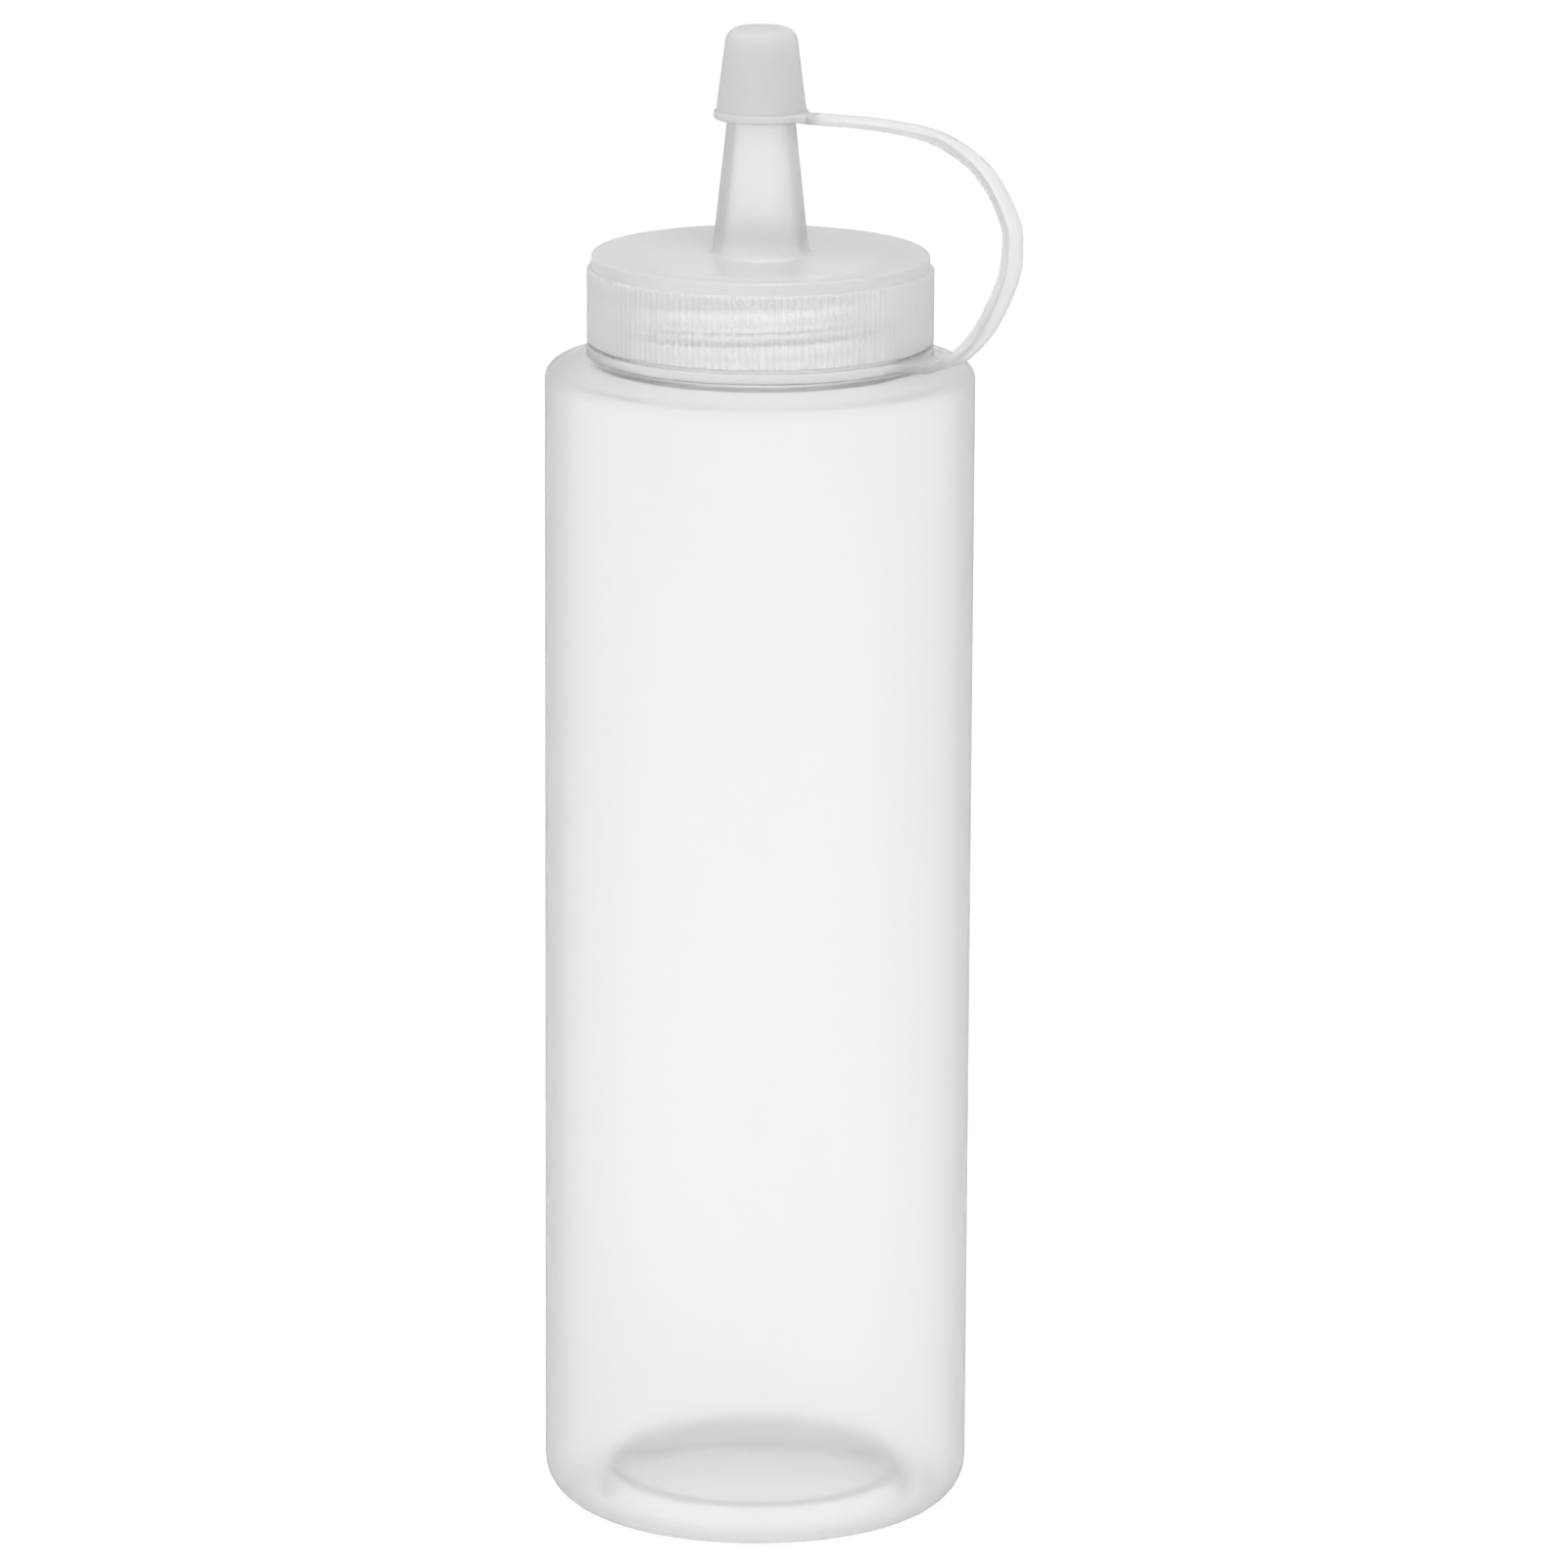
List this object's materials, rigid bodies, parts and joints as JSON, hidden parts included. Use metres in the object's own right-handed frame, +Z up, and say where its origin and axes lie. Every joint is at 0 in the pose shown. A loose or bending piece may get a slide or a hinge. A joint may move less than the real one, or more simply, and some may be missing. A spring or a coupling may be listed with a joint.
{
  "type": "condiment squeeze bottle",
  "caption": "Tall round squeeze bottle with a knurled screw cap, a tapered nozzle and a small tip cap held by a flexible strap.",
  "frame": {"origin": "centre of the flat ring that the bottle stands on, on the bottle's axis", "axes": "+Z up along the bottle's axis; the strap stands out level at 45 degrees between +X and -Y"},
  "size_m": [0.055, 0.055, 0.1939],
  "materials": {
    "bottle_plastic": "translucent, finely frosted blown plastic",
    "cap_plastic": "translucent satin moulded plastic",
    "tether_plastic": "soft, milky, flexible moulded plastic",
    "tip_cap_plastic": "soft, milky moulded plastic"
  },
  "bodies": {
    "bottle": {"bottle": "bottle_plastic"},
    "tether": {"tether_ring": "tether_plastic", "tether_strap": "tether_plastic"},
    "screw_cap": {"screw_cap": "cap_plastic"},
    "tip_cap": {"tip_cap": "tip_cap_plastic"}
  },
  "joints": [
    {"name": "cap_lift", "type": "slide", "parent": "bottle", "child": "tether", "axis": [0, 0, 1], "range_m": [0, 0.0063]},
    {"name": "cap_turn", "type": "hinge", "parent": "tether", "child": "screw_cap", "pos_m": [0, 0, 0.159], "axis": [0, 0, 1], "range_deg": [0, 540]},
    {"name": "tip_swing", "type": "hinge", "parent": "tether", "child": "tip_cap", "pos_m": [0.021, -0.021, 0.18308], "axis": [0.7071, 0.7071, 0], "range_deg": [0, 135], "deforming": ["tether_strap"]}
  ],
  "couplings": [
    {"joint": "cap_lift", "follows": "cap_turn", "m_per_rad": 0.00066845}
  ]
}
